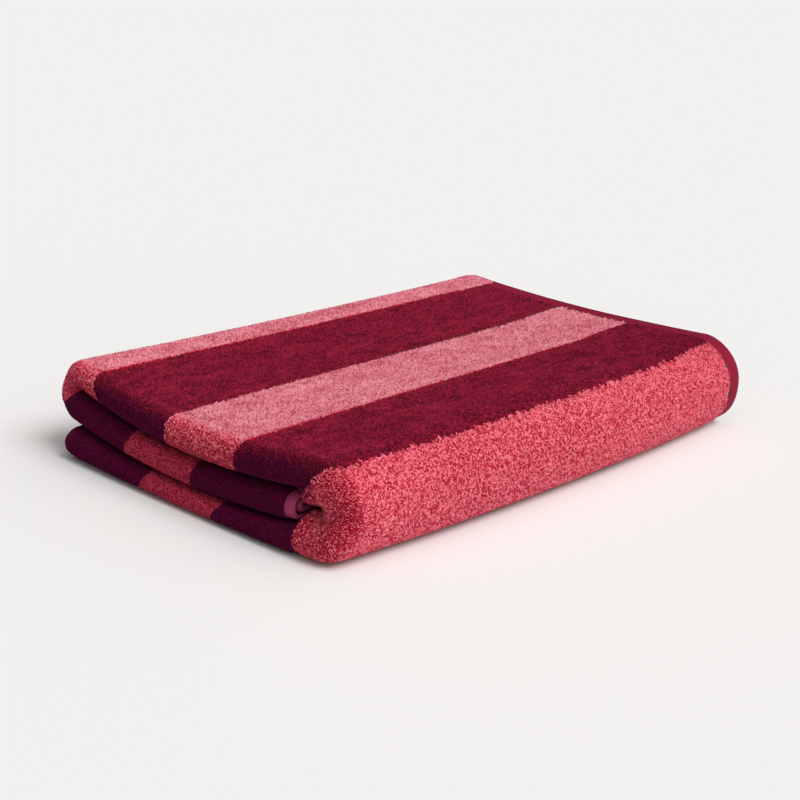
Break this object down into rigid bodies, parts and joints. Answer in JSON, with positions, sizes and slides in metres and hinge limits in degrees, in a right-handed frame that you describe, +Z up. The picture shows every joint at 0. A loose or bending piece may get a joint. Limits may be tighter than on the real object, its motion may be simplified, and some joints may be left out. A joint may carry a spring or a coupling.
{
  "type": "folded bath towel",
  "caption": "Striped terry bath towel folded into a flat oblong stack with a rounded front fold, a rolled end and its woven hems at the other end.",
  "frame": {"origin": "on the surface the towel lies on, under the middle of its bounding box", "axes": "+X along the stripes from the rolled end to the hem end, +Y from the front fold to the back fold, +Z up through the layers"},
  "size_m": [0.3554, 0.245, 0.0579],
  "materials": {
    "towel": "soft looped and brushed pile, matt"
  },
  "bodies": {
    "root": {"towel": "towel"}
  },
  "joints": []
}
